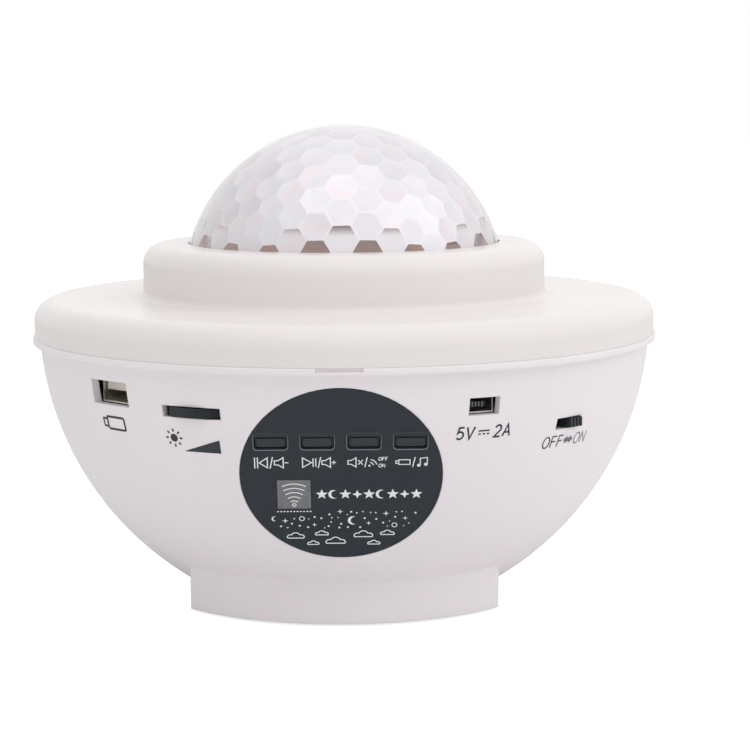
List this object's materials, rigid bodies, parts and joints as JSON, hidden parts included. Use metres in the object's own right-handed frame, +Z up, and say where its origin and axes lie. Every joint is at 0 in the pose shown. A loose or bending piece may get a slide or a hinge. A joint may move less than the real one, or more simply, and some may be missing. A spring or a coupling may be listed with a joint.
{
  "type": "star night light projector",
  "caption": "Bowl-shaped night light with a faceted clear dome over turning light discs, a tilted key panel, side ports and a flat foot.",
  "frame": {"origin": "on the surface it stands on, under the centre of the bowl and dome", "axes": "+Z up through the top of the dome, -Y to the front where the control panel faces, +X to the right as seen from the front"},
  "size_m": [0.165, 0.165, 0.1225],
  "materials": {
    "white_shell": "fine moulded satin",
    "cover_white": "fine moulded satin",
    "clear_dome": "clear moulded plastic, polished",
    "taupe_deck": "satin",
    "slate_panel": "printed film, semi-gloss",
    "smoked_window": "smoked clear plastic",
    "black_plastic": "satin",
    "black_key": "satin",
    "green_board": "solder mask",
    "white_board": "white solder mask",
    "brown_laminate": "phenolic laminate",
    "nickel_sheet": "nickel plated sheet",
    "port_plastic": "moulded",
    "capacitor_can": "sleeved can",
    "zinc_steel": "zinc plated",
    "lamp_phosphor": "silicone over phosphor",
    "raw_aluminium": "extruded",
    "mirror_plastic": "metallised",
    "clear_plate": "clear moulded plastic, rippled",
    "brass_barrel": "turned",
    "motor_steel": "drawn can",
    "nylon_gear": "moulded nylon",
    "grey_rubber": "matte",
    "black_paper": "pulp paper",
    "lead_red": "wire sleeve",
    "ribbon_grey": "ribbon cable",
    "grey_foam": "closed cell foam"
  },
  "bodies": {
    "case": {"bowl_housing": "white_shell", "top_cover": "cover_white", "crystal_dome": "clear_dome", "light_deck": "taupe_deck", "control_panel": "slate_panel", "ir_window": "smoked_window", "tact_switches": "black_plastic", "key_board": "green_board", "ir_receiver": "black_plastic", "key_board_screws": "zinc_steel", "wheel_base": "brown_laminate", "usb_socket_shell": "nickel_sheet", "usb_socket_insulator": "port_plastic", "power_socket_shell": "nickel_sheet", "power_socket_insulator": "port_plastic", "slide_switch_case": "nickel_sheet", "main_board": "green_board", "board_chips": "black_plastic", "board_capacitors": "capacitor_can", "board_screws": "zinc_steel", "lamp_board": "white_board", "lamp_chips": "lamp_phosphor", "heat_sink": "raw_aluminium", "heat_sink_screws": "zinc_steel", "lamp_reflector": "mirror_plastic", "deck_lens": "clear_plate", "laser_module": "brass_barrel", "laser_bracket": "black_plastic", "drive_motor": "motor_steel", "drive_screws": "zinc_steel", "speaker_lead": "lead_red", "lamp_lead": "lead_red", "motor_lead": "lead_red", "laser_lead": "lead_red", "key_ribbon": "ribbon_grey", "deck_screws": "zinc_steel", "bottom_cover": "white_shell", "bottom_screws": "zinc_steel", "rubber_feet": "grey_rubber", "speaker_frame": "zinc_steel", "speaker_cone": "black_paper", "speaker_magnet": "motor_steel", "speaker_gasket": "grey_foam"},
    "previous_key": {"key_previous": "black_key", "plunger_previous": "black_plastic"},
    "play_key": {"key_play": "black_key", "plunger_play": "black_plastic"},
    "mute_key": {"key_mute": "black_key", "plunger_mute": "black_plastic"},
    "source_key": {"key_source": "black_key", "plunger_source": "black_plastic"},
    "wheel": {"brightness_wheel": "black_plastic"},
    "switch_knob": {"slide_knob": "black_plastic"},
    "ripple": {"ripple_disc": "clear_plate"},
    "grating": {"star_grating": "clear_plate"},
    "pinion": {"drive_pinion": "nylon_gear", "motor_shaft": "zinc_steel"}
  },
  "joints": [
    {"name": "previous_press", "type": "slide", "parent": "case", "child": "previous_key", "axis": [0, 0.9164, 0.4003], "range_m": [0, 0.0004], "stiffness_N_per_m": 500, "springref_m": -0.0006},
    {"name": "play_press", "type": "slide", "parent": "case", "child": "play_key", "axis": [0, 0.9164, 0.4003], "range_m": [0, 0.0004], "stiffness_N_per_m": 500, "springref_m": -0.0006},
    {"name": "mute_press", "type": "slide", "parent": "case", "child": "mute_key", "axis": [0, 0.9164, 0.4003], "range_m": [0, 0.0004], "stiffness_N_per_m": 500, "springref_m": -0.0006},
    {"name": "source_press", "type": "slide", "parent": "case", "child": "source_key", "axis": [0, 0.9164, 0.4003], "range_m": [0, 0.0004], "stiffness_N_per_m": 500, "springref_m": -0.0006},
    {"name": "brightness_turn", "type": "hinge", "parent": "case", "child": "wheel", "pos_m": [-0.03177, -0.06345, 0.0565], "axis": [0, 0, 1], "range_deg": [-135, 135]},
    {"name": "power_slide", "type": "slide", "parent": "case", "child": "switch_knob", "axis": [-0.7071, -0.7071, 0], "range_m": [0, 0.004]},
    {"name": "ripple_turn", "type": "hinge", "parent": "case", "child": "ripple", "pos_m": [0, 0, 0.0858], "axis": [0, 0, 1], "continuous": true},
    {"name": "grating_turn", "type": "hinge", "parent": "case", "child": "grating", "pos_m": [0.03005, 0, 0.0858], "axis": [0, 0, 1], "continuous": true},
    {"name": "pinion_turn", "type": "hinge", "parent": "case", "child": "pinion", "pos_m": [-0.02885, 0, 0.0858], "axis": [0, 0, 1], "continuous": true}
  ],
  "couplings": [
    {"joint": "grating_turn", "follows": "ripple_turn", "ratio": -4},
    {"joint": "pinion_turn", "follows": "ripple_turn", "ratio": -5}
  ]
}
